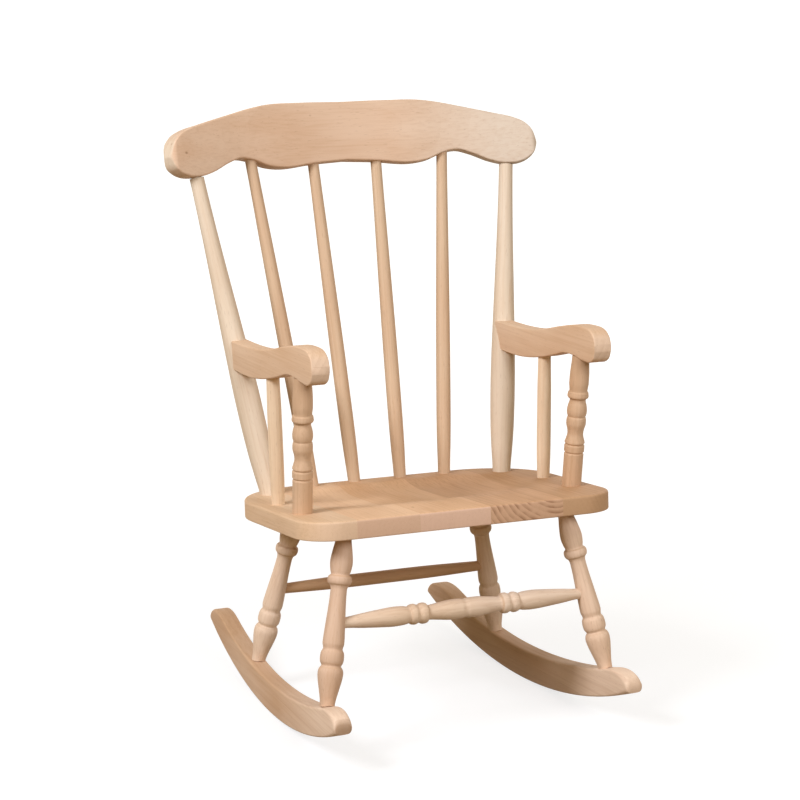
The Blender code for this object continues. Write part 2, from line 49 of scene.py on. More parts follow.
# Balance
ROCKER_RADIUS = 644.0
ROCKER_LOW_Y = -3.0
POISE = math.radians(1.96)
FRAME_Y = 20.8
TIP = (
    Matrix.Translation((0.0, (FRAME_Y + ROCKER_LOW_Y) * MM, ROCKER_RADIUS * MM))
    @ Matrix.Rotation(-POISE, 4, "X")
    @ Matrix.Translation((0.0, -ROCKER_LOW_Y * MM, -ROCKER_RADIUS * MM))
)

# Seat
SEAT_WIDTH = 400.0
SEAT_FRONT_Y = -178.0
SEAT_BACK_Y = 97.0
SEAT_THICKNESS = 22.0
SEAT_HEIGHT = 258.6
SEAT_SLOPE = math.radians(4.4)
SEAT_NORMAL = Vector((0.0, math.sin(SEAT_SLOPE), math.cos(SEAT_SLOPE)))
SEAT_FRONT_CORNER = 46.0
SEAT_BACK_CORNER = 92.0
SEAT_TOP_ROUND = 3.0
SEAT_UNDER_ROUND = 1.5
SCOOP_HALF_WIDTH = 152.0
SCOOP_HALF_DEPTH = 80.0
SCOOP_CENTRE_Y = -20.0
SCOOP_DEPTH = 7.0
SCOOP_SQUARENESS = 3.0
SCOOP_FLOOR = 0.4
# where one stave of the glued-up seat meets the next, across the chair
STAVE_JOINTS = (-140.0, -62.0, 27.0, 121.0)
# the staves run from back to front, along the sloping top
SEAT_GRAIN = (0.0, -1.0, 0.08)

# Rockers
ROCKER_FRONT_Y = -243.0
ROCKER_BACK_Y = 245.0
ROCKER_THICKNESS = 22.0
ROCKER_HEIGHT = 37.0
ROCKER_FRONT_TOP_RADIUS = 797.0
ROCKER_BACK_TOP_RADIUS = 660.0
ROCKER_TOP_LOW_Y = 8.6
ROCKER_HALF_SPACING = 169.6
ROCKER_TOE = math.radians(3.6)
ROCKER_EDGE = 2.6
# how far the top is rounded over at each end, and what share of the height it falls
ROCKER_NOSE = 48.0
ROCKER_TAIL = 52.0
ROCKER_NOSE_FALL = 0.82
ROCKER_TAIL_FALL = 0.97
# sanding at the very ends: radius of the long edges there, and of the end face's upright edges
ROCKER_NOSE_SANDING = (8.0, 4.0)
ROCKER_TAIL_SANDING = (4.0, 2.0)

# Legs and stretchers: where each leaves the seat and meets its runner, then share of the length, diameter
FRONT_LEG_TOP = (141.5, -142.0)
REAR_LEG_TOP = (120.0, 55.0)
FRONT_LEG_FOOT_Y = -183.0
REAR_LEG_FOOT_Y = 80.0
LEG_FOOT_TENON = 18.0
LEG_PROFILE = (
    (0.0, 18.0), (0.03, 18.4), (0.09, 22.6), (0.163, 26.0), (0.21, 23.6), (0.232, 21.4), (0.243, 26.0),
    (0.265, 27.8), (0.286, 25.4), (0.296, 21.4), (0.339, 18.8), (0.42, 20.0), (0.53, 22.8), (0.632, 24.8),
    (0.664, 22.4), (0.684, 26.0), (0.715, 27.4), (0.744, 26.2), (0.763, 22.6), (0.779, 26.8), (0.806, 29.2),
    (0.84, 28.0), (0.91, 22.4), (0.96, 18.4), (1.0, 16.8),
)
FRONT_STRETCHER_DROP = 0.52
REAR_STRETCHER_DROP = 0.53
FRONT_STRETCHER_HALF = (
    (0.0, 21.6), (0.035, 23.4), (0.12, 23.2), (0.21, 19.6), (0.285, 17.2), (0.3, 22.6), (0.335, 24.4),
    (0.365, 21.0), (0.395, 24.2), (0.425, 22.4), (0.437, 19.6), (0.475, 21.6), (0.55, 22.8), (0.66, 20.6),
    (0.8, 16.6), (0.91, 12.8), (1.0, 12.4),
)
REAR_STRETCHER_HALF = ((0.0, 16.0), (0.45, 15.6), (0.8, 13.4), (0.91, 12.6), (1.0, 12.4))

# Back
POST_BASE = (156.0, 52.0)
POST_TOP_X = 208.0
OUTER_SPINDLE_BASE = (89.0, 79.0)
OUTER_SPINDLE_TOP_X = 129.0
INNER_SPINDLE_BASE = (31.0, 85.0)
INNER_SPINDLE_TOP_X = 42.5
POST_PROFILE = (
    (0.0, 22.4), (0.02, 23.0), (0.07, 26.0), (0.13, 28.8), (0.21, 30.4), (0.29, 30.8), (0.38, 29.8),
    (0.45, 28.4), (0.595, 24.8), (0.77, 20.4), (0.885, 18.4), (0.96, 17.6), (1.0, 17.4),
)
SPINDLE_PROFILE = (
    (0.0, 15.2), (0.03, 15.6), (0.09, 17.0), (0.2, 18.0), (0.42, 17.8), (0.7, 15.8), (0.93, 13.8),
    (1.0, 13.6),
)

# Crest rail: its edges are given as distance from the middle, height
CREST_HALF_LENGTH = 247.0
CREST_THICKNESS = 22.0
CREST_BOW_RADIUS = 640.0
CREST_Y = 185.0
CREST_REFERENCE_Z = 633.7
CREST_LEAN = math.radians(13.5)
CREST_EDGE = 2.4
CREST_END_ROUND = 7.0
# the way its front looks, near enough for the grain
CREST_FACE = (0.0, -1.0, 0.3)
CREST_TOP_EDGE = (
    (0.0, 709.2), (60.0, 710.0), (102.0, 709.6), (128.0, 706.2), (162.0, 699.4), (196.0, 692.2),
    (223.0, 685.8), (236.5, 678.4), (244.2, 667.4), (247.0, 656.5),
)
CREST_LOW_EDGE = (
    (0.0, 638.2), (45.0, 635.8), (82.0, 632.6), (108.0, 635.8), (130.0, 644.2), (147.0, 647.2),
    (165.0, 642.8), (188.0, 633.6), (208.0, 629.8), (224.0, 631.2), (236.5, 637.2), (244.2, 646.0),
    (247.0, 655.0),
)

# Arms: their edges are given as distance from the front end, height
ARM_X = 178.0
ARM_THICKNESS = 22.0
ARM_EDGE = 2.0
ARM_FRONT_Y = -165.0
ARM_TOP_EDGE = (
    (0.0, 447.7), (2.5, 454.4), (8.0, 460.2), (17.0, 464.0), (28.0, 465.0), (55.0, 463.6), (90.0, 457.0),
    (125.0, 449.0), (160.0, 442.6), (205.0, 439.2), (265.0, 438.6),
)
ARM_LOW_EDGE = (
    (0.0, 438.7), (2.5, 431.7), (8.0, 426.7), (20.0, 424.1), (32.0, 424.7), (52.0, 427.1), (76.0, 426.7),
    (105.0, 419.2), (140.0, 411.1), (180.0, 404.9), (215.0, 403.1), (265.0, 404.1),
)
ARM_POST_BASE = (174.4, -99.0)
ARM_POST_TOP_Y = -112.0
ARM_SPINDLE_BASE = (175.0, -25.0)
ARM_SPINDLE_TOP_Y = -19.0
ARM_POST_PROFILE = (
    (0.0, 23.2), (0.05, 23.4), (0.247, 23.4), (0.258, 21.2), (0.27, 24.2), (0.312, 24.2), (0.322, 21.2),
    (0.335, 24.2), (0.365, 21.6), (0.405, 19.0), (0.435, 20.0), (0.484, 23.6), (0.527, 22.4), (0.536, 21.0),
    (0.545, 22.4), (0.579, 24.0), (0.62, 22.4), (0.661, 19.2), (0.672, 20.2), (0.681, 24.2), (0.719, 24.4),
    (0.73, 21.6), (0.79, 23.4), (0.87, 23.0), (0.95, 21.2), (1.0, 20.6),
)
ARM_SPINDLE_PROFILE = ((0.0, 15.4), (0.05, 15.6), (0.2, 16.8), (0.7, 17.0), (0.92, 16.0), (1.0, 15.6))

# Joints
JOINT_DEPTH = 9.0
STRETCHER_DEPTH = 0.5
SHOULDER_GAP = 1.0
# the neck behind a cut shoulder, as a share of the turning's end
NECK_SHARE = 0.7

# Mesh density
ROUND_STEPS = 48
TURNING_STEP = 1.2
TURNING_LEAST_STEPS = 12
BOARD_STEP = 3.0
ROCKER_STEP = 6.0
CORNER_STEPS = 5
# closer steps near a board's ends: how many, and how far in they reach
FINE_STEPS = 14
CREST_FINE = 26.0
ARM_FINE = 24.0
SEAT_CORNER_STEPS = 16
SEAT_PLAN_STEP = 10.0
SEAT_EDGE_STEPS = 6
SEAT_RIM_STEPS = 4
SCOOP_STEPS = 24
# share of the hollow's outline at which its floor is closed
SCOOP_CLOSED = 0.02
# the most of a board's height or thickness that one rounded edge takes
EDGE_LIMIT = 0.45
SMOOTH_BELOW = math.radians(40.0)

# Stock
# how far along the stock each piece was cut, so that the figure isn't the same twice
CUT_FROM = {
    "seat": 0.0, "crest_rail": 300.0, "rocker": 1000.0, "back_post": 1200.0, "front_leg": 1400.0,
    "rear_leg": 1800.0, "back_spindle_outer": 4100.0, "back_spindle_inner": 5700.0, "arm": 6200.0,
    "arm_post": 7100.0, "arm_spindle": 8400.0, "front_stretcher": 8300.0, "rear_stretcher": 9600.0,
}
# how much further on the right one of a pair was cut
RIGHT_CUT_FURTHER = 1300.0
# paler and darker side grain, late wood, end grain, how strongly the growth bands show along and across the
# fibres, where the heart of the tree lay beside the piece, and the bands' spacing
STOCK = {
    "crest": ("#e0c4aa", "#d6b496", "#b58c66", "#dccab2", 0.08, 0.2, (110.0, 30.0), 9.0),
    "posts": ("#e0d0ba", "#d9c5ab", "#bf9973", "#d0b595", 0.14, 0.2, (50.0, 20.0), 6.0),
    "spindles": ("#d3b899", "#cbab8b", "#a68059", "#c0a17c", 0.15, 0.2, (40.0, 20.0), 6.0),
    "arms": ("#e0c2a4", "#d5b18e", "#b3885f", "#e0c4a9", 0.18, 0.2, (90.0, 40.0), 8.0),
    "arm_posts": ("#d5b697", "#c8a481", "#a7815b", "#be9b78", 0.18, 0.2, (35.0, 25.0), 6.0),
    # the arm spindles are painted paler: painted light, standing in for the light that the arms above them
    # keep off
    "arm_spindles": ("#f2dcbf", "#eacfae", "#c79a70", "#d8b48c", 0.12, 0.2, (40.0, 20.0), 6.0),
    "stave_1": ("#e3c6a6", "#d4b18c", "#a6815a", "#dabb9c", 0.06, 0.05, (50.0, 90.0), 6.0),
    "stave_2": ("#e8c39e", "#dcb58f", "#a67a52", "#d2af93", 0.06, 0.04, (100.0, 60.0), 6.0),
    "stave_3": ("#e2ba93", "#d5aa81", "#a0744b", "#d9b69d", 0.08, 0.04, (20.0, 110.0), 6.0),
    "stave_4": ("#d1a781", "#c39972", "#80532f", "#cba484", 0.14, 0.75, (-42.0, 112.0), 6.5),
    "stave_5": ("#c49c76", "#b68c63", "#8c6039", "#c09a75", 0.18, 0.08, (70.0, 50.0), 6.0),
    "front_leg_left": ("#e8ccb2", "#dfbfa2", "#b88c66", "#caa885", 0.15, 0.2, (40.0, 20.0), 6.0),
    "front_leg_right": ("#d8baa0", "#ceac8f", "#b88c66", "#caa885", 0.15, 0.2, (40.0, 20.0), 6.0),
    # the rear legs are painted paler: painted light, standing in for the light that the seat above them keeps
    # off
    "rear_leg_left": ("#f1dac2", "#e9ccb0", "#b88c66", "#caa885", 0.15, 0.2, (40.0, 20.0), 6.0),
    "rear_leg_right": ("#f1dac2", "#e9ccb0", "#b88c66", "#caa885", 0.15, 0.2, (40.0, 20.0), 6.0),
    "front_stretcher": ("#e6d0ba", "#dfc5a9", "#b88c66", "#caa885", 0.15, 0.2, (40.0, 20.0), 6.0),
    # the rear stretcher is a browner piece and painted darker still: painted shade from the seat above it
    "rear_stretcher": ("#cfa982", "#c3996f", "#b88c66", "#caa885", 0.15, 0.2, (40.0, 20.0), 6.0),
    "rocker_left": ("#dabb9d", "#cca784", "#ae8059", "#dcc0a6", 0.2, 0.2, (90.0, 40.0), 8.0),
    # the right runner's end grain is painted darker than the left's: painted shade from the seat over its
    # tail, laid on both its ends
    "rocker_right": ("#dabb9d", "#cca784", "#ae8059", "#ae9176", 0.2, 0.2, (90.0, 40.0), 8.0),
}
# paler, whiter tone laid over part of some boards as painted light: its colour, and where along the stock it
# begins and is full
PAINTED_PALE_LIGHT = {
    # the crest rail's end on the sitter's left is painted paler and whiter: a painted sheen of light
    "crest": ("#dacab7", 360.0, 500.0),
    # the runners are painted paler toward their fronts: painted light, as if the lamps' light fell off
    # towards their tails
    "rocker_left": ("#ead0b7", 1040.0, 1190.0),
    "rocker_right": ("#ead0b7", 2340.0, 2490.0),
}
PORE = "#8a5f3f"
# the wave texture counts this many radians to a unit
WAVE_RADIANS = 20.0


# Wood

def linear(hex_colour):
    """An sRGB hex value as linear light, with full alpha."""
    channels = [int(hex_colour[i:i + 2], 16) / 255 for i in (1, 3, 5)]
    return [c / 12.92 if c <= 0.04045 else ((c + 0.055) / 1.055) ** 2.4 for c in channels] + [1.0]


def node(tree, kind, inputs=None, **settings):
    """Adds a shader node, sets it, and sets or links its inputs.

    A colour mix has its share as input 0, its two colours as inputs 6 and 7, and its result as output 2.
    """
    made = tree.nodes.new("ShaderNode" + kind)
    for key, value in settings.items():
        setattr(made, key, value)
    for key, value in (inputs or {}).items():
        if isinstance(value, bpy.types.NodeSocket):
            tree.links.new(value, made.inputs[key])
        else:
            made.inputs[key].default_value = value
    return made


def per_mm(across, along):
    """Texture scale for a mark that is so many millimetres wide and long, the grain running along Z."""
    return (1 / (across * MM), 1 / (across * MM), 1 / (along * MM))


def rubberwood(name, pale, body, brown, end, figure, end_figure, pith, ring, painted_light=None):
    """Rubberwood, planed or turned and sanded, left raw.

    To the eye it is a dull pinkish tan with no gloss: tones that drift slowly along the board, faint wavering
    bands of growth some millimetres apart, short dark pore marks that run with the grain, a rare pin knot,
    and end grain of its own tone where the fibres are cut across. figure and end_figure are how strongly the
    bands show along and across the fibres, and pith is how far off the heart of the tree lay.
    """
    material = bpy.data.materials.new(name)
    material.use_nodes = True
    tree = material.node_tree
    shader = tree.nodes["Principled BSDF"]
    spot = node(tree, "Attribute", attribute_name="grain").outputs["Vector"]

    # end grain, where the surface faces along the fibres
    way = node(tree, "Attribute", attribute_name="fibre").outputs["Vector"]
    facing = node(
        tree, "VectorMath", {0: node(tree, "TexCoord").outputs["Normal"], 1: way}, operation="DOT_PRODUCT"
    )
    cut = node(tree, "Math", {0: facing.outputs["Value"]}, operation="ABSOLUTE")
    cut_share = node(tree, "MapRange", {"Value": cut.outputs[0], "From Min": 0.45, "From Max": 0.9})

    # slow drift of tone over a board
    drift_at = node(tree, "Mapping", {"Vector": spot, "Scale": per_mm(45.0, 160.0)})
    drift = node(tree, "TexNoise", {"Vector": drift_at.outputs[0], "Scale": 1.0, "Detail": 2.5})
    drift_share = node(tree, "MapRange", {"Value": drift.outputs["Fac"], "From Min": 0.32, "From Max": 0.68})
    side_tone = node(
        tree, "Mix", {0: drift_share.outputs[0], 6: linear(body), 7: linear(pale)}, data_type="RGBA"
    )
    # lays the paler, whiter tone of painted light over part of the stock
    if painted_light:
        painted_light_colour, begins, full = painted_light
        along = node(tree, "SeparateXYZ", {0: spot}).outputs["Z"]
        painted_light_share = node(tree, "MapRange", {"Value": along, "From Min": begins * MM, "From Max": full * MM})
        side_tone = node(
            tree, "Mix", {0: painted_light_share.outputs[0], 6: side_tone.outputs[2], 7: linear(painted_light_colour)},
            data_type="RGBA",
        )
    tone = node(
        tree, "Mix", {0: cut_share.outputs[0], 6: side_tone.outputs[2], 7: linear(end)}, data_type="RGBA"
    )

    # growth bands round the heart of the tree, wavering and now and then fading out
    bands_at = node(
        tree, "Mapping",
        {"Vector": spot, "Location": (pith[0] * MM, pith[1] * MM, 0.0), "Scale": (1.0, 1.0, 0.06)},
    )
    bands = node(
        tree, "TexWave",
        {
            "Vector": bands_at.outputs[0], "Scale": math.tau / WAVE_RADIANS / (ring * MM), "Distortion": 8.0,
            "Detail": 3.0, "Detail Scale": 0.2, "Detail Roughness": 0.6,
        },
        wave_type="RINGS", rings_direction="Z", wave_profile="SAW",
    )
    fading_at = node(tree, "Mapping", {"Vector": spot, "Scale": per_mm(16.0, 120.0)})
    fading = node(tree, "TexNoise", {"Vector": fading_at.outputs[0], "Scale": 1.0, "Detail": 1.0})
    most = node(
        tree, "MapRange", {"Value": fading.outputs["Fac"], "From Min": 0.36, "From Max": 0.6, "To Min": 0.15}
    )
    late_wood = node(
        tree, "MapRange",
        {"Value": bands.outputs["Fac"], "From Min": 0.3, "From Max": 1.0, "To Max": most.outputs[0]},
    )
    strength = node(tree, "MapRange", {"Value": cut_share.outputs[0], "To Min": figure, "To Max": end_figure})
    band_share = node(tree, "Math", {0: late_wood.outputs[0], 1: strength.outputs[0]}, operation="MULTIPLY")
    banded = node(
        tree, "Mix", {0: band_share.outputs[0], 6: tone.outputs[2], 7: linear(brown)}, data_type="RGBA"
    )

    # fibres a millimetre or two wide, coarser than life so that they show
    fibre_at = node(tree, "Mapping", {"Vector": spot, "Scale": per_mm(2.4, 90.0)})
    fibre = node(tree, "TexNoise", {"Vector": fibre_at.outputs[0], "Scale": 1.0, "Detail": 3.0})
    fibre_most = node(tree, "MapRange", {"Value": cut_share.outputs[0], "To Min": 0.3, "To Max": 0.1})
    fibre_share = node(
        tree, "MapRange",
        {"Value": fibre.outputs["Fac"], "From Min": 0.45, "From Max": 0.85, "To Max": fibre_most.outputs[0]},
    )
    fibred = node(
        tree, "Mix", {0: fibre_share.outputs[0], 6: banded.outputs[2], 7: linear(brown)}, data_type="RGBA"
    )

    # pores: dashes some 12 mm long, drawn about four times wider than life
    pore_at = node(tree, "Mapping", {"Vector": spot, "Scale": per_mm(1.0, 12.0)})
    pore = node(tree, "TexNoise", {"Vector": pore_at.outputs[0], "Scale": 1.0, "Detail": 1.0})
    pore_share = node(
        tree, "MapRange", {"Value": pore.outputs["Fac"], "From Min": 0.67, "From Max": 0.77, "To Max": 0.3}
    )
    pored = node(
        tree, "Mix", {0: pore_share.outputs[0], 6: fibred.outputs[2], 7: linear(PORE)}, data_type="RGBA"
    )

    # pin knots 2 mm across, fading out to 4 mm, one in a hand's breadth or so
    knot_at = node(tree, "Mapping", {"Vector": spot, "Scale": per_mm(48.0, 70.0)})
    knot = node(tree, "TexVoronoi", {"Vector": knot_at.outputs[0], "Scale": 1.0})
    knot_share = node(
        tree, "MapRange",
        {
            "Value": knot.outputs["Distance"], "From Min": 0.022, "From Max": 0.045,
            "To Min": 0.6, "To Max": 0.0,
        },
    )
    knotted = node(
        tree, "Mix", {0: knot_share.outputs[0], 6: pored.outputs[2], 7: linear(PORE)}, data_type="RGBA"
    )
    tree.links.new(knotted.outputs[2], shader.inputs["Base Color"])

    # sanded but not sealed, so the fibres stand slightly proud and nothing shines
    rough = node(tree, "MapRange", {"Value": fibre.outputs["Fac"], "To Min": 0.55, "To Max": 0.75})
    tree.links.new(rough.outputs[0], shader.inputs["Roughness"])
    shader.inputs["IOR"].default_value = 1.46
    shader.inputs["Specular IOR Level"].default_value = 0.3
    grit = node(tree, "Math", {0: fibre.outputs["Fac"], 1: pore_share.outputs[0]}, operation="SUBTRACT")
    raised = node(tree, "Bump", {"Height": grit.outputs[0], "Strength": 0.2, "Distance": 0.2 * MM})
    tree.links.new(raised.outputs[0], shader.inputs["Normal"])
    return material


# Shapes

def curve_through(points, x):
    """Height at x on a smooth curve through a few points, level at each point where it turns back."""
    if x <= points[0][0]:
        return points[0][1]
    if x >= points[-1][0]:
        return points[-1][1]
    slopes = [(b[1] - a[1]) / (b[0] - a[0]) for a, b in zip(points, points[1:])]
    for i, (low, high) in enumerate(zip(points, points[1:])):
        if x > high[0]:
            continue
        tangents = []
        for j in (i, i + 1):
            before = slopes[max(j - 1, 0)]
            after = slopes[min(j, len(slopes) - 1)]
            flat = before * after <= 0.0
            tangents.append(0.0 if flat and 0 < j < len(slopes) else (before + after) / 2)
        span = high[0] - low[0]
        t = (x - low[0]) / span
        return (
            (2 * t**3 - 3 * t**2 + 1) * low[1]
            + (t**3 - 2 * t**2 + t) * span * tangents[0]
            + (3 * t**2 - 2 * t**3) * high[1]
            + (t**3 - t**2) * span * tangents[1]
        )


def square_to(axis):
    """Two unit vectors square to an axis."""
    upright = abs(axis.z) > 0.9
    first = axis.cross(Vector((1.0, 0.0, 0.0) if upright else (0.0, 0.0, 1.0))).normalized()
    return first, axis.cross(first).normalized()


def ring_at(centre, axis, radius, plane=None):
    """A ring of points round an axis, square to it or lying in a plane given as a point and a normal."""
    first, second = square_to(axis)
    ring = []
    for i in range(ROUND_STEPS):
        angle = math.tau * i / ROUND_STEPS
        point = centre + (first * math.cos(angle) + second * math.sin(angle)) * radius
        if plane is not None:
            spot, normal = plane
            point = point + axis * ((spot - point).dot(normal) / axis.dot(normal))
        ring.append(point)
    return ring


def skin(rings):
    """A closed mesh over rings of drawn points, tipped to its place, in metres."""
    shape = bmesh.new()
    loops = [[shape.verts.new(TIP @ (Vector(point) * MM)) for point in ring] for ring in rings]
    count = len(loops[0])
    for low, high in zip(loops, loops[1:]):
        for i in range(count):
            j = (i + 1) % count
            shape.faces.new((low[i], low[j], high[j], high[i]))
    shape.faces.new(list(reversed(loops[0])))
    shape.faces.new(loops[-1])
    bmesh.ops.recalc_face_normals(shape, faces=shape.faces)
    return shape


def cut_from(name):
    """How far along its stock a piece was cut."""
    kind = name.removesuffix("_left").removesuffix("_right")
    return CUT_FROM[kind] + (RIGHT_CUT_FURTHER if name.endswith("_right") else 0.0)


def finish_piece(name, shape, grain, face, woods):
    """Makes a piece of a mesh and gives it to the chair.

    Each point keeps where it lay in the stock, in metres, Z along the grain and X out of the face, and which
    way the fibres run there.
    """
    mesh = bpy.data.meshes.new(name + "_wood")
    shape.to_mesh(mesh)
    shape.free()
    mesh.shade_smooth()
    mesh.set_sharp_from_angle(angle=SMOOTH_BELOW)
    along = (TIP.to_3x3() @ Vector(grain)).normalized()
    across = along.cross(TIP.to_3x3() @ Vector(face)).normalized()
    turn = Matrix((across.cross(along), across, along))
    middle = sum((point.co for point in mesh.vertices), Vector()) / len(mesh.vertices)
    cut = Vector((0.0, 0.0, cut_from(name) * MM))
    in_stock = mesh.attributes.new("grain", "FLOAT_VECTOR", "POINT")
    fibre = mesh.attributes.new("fibre", "FLOAT_VECTOR", "POINT")
    for point in mesh.vertices:
        in_stock.data[point.index].vector = turn @ (point.co - middle) + cut
        fibre.data[point.index].vector = along
    for wood in woods:
        mesh.materials.append(wood)
    piece = bpy.data.objects.new(name + "_wood", mesh)
    bpy.context.scene.collection.objects.link(piece)
    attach(piece, "root")
    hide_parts(name)


def turn_piece(name, start, end, profile, wood, top=None, sunk=JOINT_DEPTH):
    """A lathe turning from start to end, carried on into the sockets at both ends as far as sunk.

    top is the plane that its shoulder is cut to, as a point and a normal.
    """
    axis = (end - start).normalized()
    length = (end - start).length
    count = max(TURNING_LEAST_STEPS, round(length / TURNING_STEP))
    shares = sorted({i / count for i in range(count + 1)} | {share for share, _ in profile})
    rings = [ring_at(start - axis * sunk, axis, profile[0][1] / 2)]
    for share in shares:
        plane = top if share == 1.0 else None
        rings.append(ring_at(start + axis * length * share, axis, curve_through(profile, share) / 2, plane))
    neck = profile[-1][1] / 2
    if top is not None:
        neck *= NECK_SHARE
        rings.append(ring_at(end, axis, neck, top))
    rings.append(ring_at(end + axis * sunk, axis, neck))
    finish_piece(name, skin(rings), axis, square_to(axis)[0], [wood])


def board_section(low, high, across, thickness, edge):
    """A board's cross-section between a low and a high point, its four edges rounded."""
    up = (high - low).normalized()
    height = (high - low).length
    edge = min(edge, EDGE_LIMIT * height, EDGE_LIMIT * thickness)
    half = thickness / 2
    corner = []
    for i in range(CORNER_STEPS + 1):
        angle = math.pi / 2 * i / CORNER_STEPS
        corner.append((half - edge * (1 - math.cos(angle)), edge * (1 - math.sin(angle))))
    right_low = list(corner)
    left_low = [(-side, rise) for side, rise in reversed(corner)]
    left_high = [(-side, height - rise) for side, rise in corner]
    right_high = [(side, height - rise) for side, rise in reversed(corner)]
    return [low + across * side + up * rise for side, rise in right_low + left_low + left_high + right_high]


def arc_fall(into):
    """How far a quarter round of radius 1 has fallen away, from 0 where it begins to 1 at its end."""
    return 1 - math.sqrt(1 - into**2)


def steps_between(start, end, step, fine=()):
    """Numbers about a step apart, and closer ones beside each anchor in fine, as far as its reach."""
    count = max(2, round((end - start) / step))
    found = {start + (end - start) * i / count for i in range(count + 1)}
    for anchor, reach in fine:
        found |= {anchor + reach * (i / FINE_STEPS) ** 2 for i in range(FINE_STEPS + 1)}
    return sorted(found)


# Pieces

def seat_top(x, y):
    """Point of the seat's flat top plane at x, y."""
    return Vector((x, y, SEAT_HEIGHT - math.tan(SEAT_SLOPE) * y))


def seat_outline(inset):
    """The seat's plan, drawn in by inset, from the front edge round by +X."""
    corners = (
        (1.0, SEAT_FRONT_Y + SEAT_FRONT_CORNER, SEAT_FRONT_CORNER, -90.0),
        (1.0, SEAT_BACK_Y - SEAT_BACK_CORNER, SEAT_BACK_CORNER, 0.0),
        (-1.0, SEAT_BACK_Y - SEAT_BACK_CORNER, SEAT_BACK_CORNER, 90.0),
        (-1.0, SEAT_FRONT_Y + SEAT_FRONT_CORNER, SEAT_FRONT_CORNER, 180.0),
    )
    plan = []
    for side, centre_y, radius, start in corners:
        centre_x = side * (SEAT_WIDTH / 2 - radius)
        for i in range(SEAT_CORNER_STEPS + 1):
            angle = math.radians(start + 90.0 * i / SEAT_CORNER_STEPS)
            reach = radius - inset
            plan.append((centre_x + reach * math.cos(angle), centre_y + reach * math.sin(angle)))
    dense = []
    for (x0, y0), (x1, y1) in zip(plan, plan[1:] + plan[:1]):
        count = max(1, round(math.hypot(x1 - x0, y1 - y0) / SEAT_PLAN_STEP))
        dense += [(x0 + (x1 - x0) * i / count, y0 + (y1 - y0) * i / count) for i in range(count)]
    return dense


def scoop_outline(share):
    """The hollow's edge seen from above, scaled about its middle, point for point with the seat's plan."""
    points = []
    for x, y in seat_outline(0.0):
        dx = x / SCOOP_HALF_WIDTH
        dy = (y - SCOOP_CENTRE_Y) / SCOOP_HALF_DEPTH
        size = (abs(dx) ** SCOOP_SQUARENESS + abs(dy) ** SCOOP_SQUARENESS) ** (1 / SCOOP_SQUARENESS)
        points.append((x * share / size, SCOOP_CENTRE_Y + (y - SCOOP_CENTRE_Y) * share / size))
    return points


def build_seat(stave_woods):
    """The plank with its rounded edges and hollow, each glued-up stave in a wood of its own."""
    def ring(plan, depth):
        return [seat_top(x, y) - SEAT_NORMAL * depth for x, y in plan]

    rings = []
    for radius, low in ((SEAT_UNDER_ROUND, True), (SEAT_TOP_ROUND, False)):
        for i in range(SEAT_EDGE_STEPS + 1):
            angle = math.pi / 2 * i / SEAT_EDGE_STEPS
            inset = radius * (1 - math.sin(angle if low else math.pi / 2 - angle))
            depth = radius * (1 - math.cos(angle if low else math.pi / 2 - angle))
            rings.append(ring(seat_outline(inset), SEAT_THICKNESS - depth if low else depth))
    rim = seat_outline(SEAT_TOP_ROUND)
    edge = scoop_outline(1.0)
    for i in range(1, SEAT_RIM_STEPS):
        part = i / SEAT_RIM_STEPS
        plan = [(a[0] + (b[0] - a[0]) * part, a[1] + (b[1] - a[1]) * part) for a, b in zip(rim, edge)]
        rings.append(ring(plan, 0.0))
    for i in range(SCOOP_STEPS + 1):
        share = 1.0 - (1.0 - SCOOP_CLOSED) * i / SCOOP_STEPS
        part = max(0.0, (share - SCOOP_FLOOR) / (1 - SCOOP_FLOOR))
        rings.append(ring(scoop_outline(share), SCOOP_DEPTH * (1 - part**2)))
    shape = skin(rings)
    for joint in STAVE_JOINTS:
        parts = shape.verts[:] + shape.edges[:] + shape.faces[:]
        bmesh.ops.bisect_plane(shape, geom=parts, plane_co=(joint * MM, 0.0, 0.0), plane_no=(1.0, 0.0, 0.0))
    for face in shape.faces:
        middle = face.calc_center_median().x
        face.material_index = sum(middle > joint * MM for joint in STAVE_JOINTS)
    finish_piece("seat", shape, SEAT_GRAIN, (0.0, 0.0, 1.0), stave_woods)


def rocker_top_radius(y):
    """Radius of a runner's top edge at y, which bends more behind its lowest point."""
    return ROCKER_FRONT_TOP_RADIUS if y < ROCKER_TOP_LOW_Y else ROCKER_BACK_TOP_RADIUS


def rocker_high(y):
    """Height of a runner's top edge at y."""
    radius = rocker_top_radius(y)
    return ROCKER_HEIGHT + radius - math.sqrt(radius**2 - (y - ROCKER_TOP_LOW_Y) ** 2)


def rocker_point(side, y, z):
    """Point in the middle of a runner's thickness, the two runners standing closer at the back."""
    return Vector((side * (ROCKER_HALF_SPACING - y * math.tan(ROCKER_TOE)), y, z))


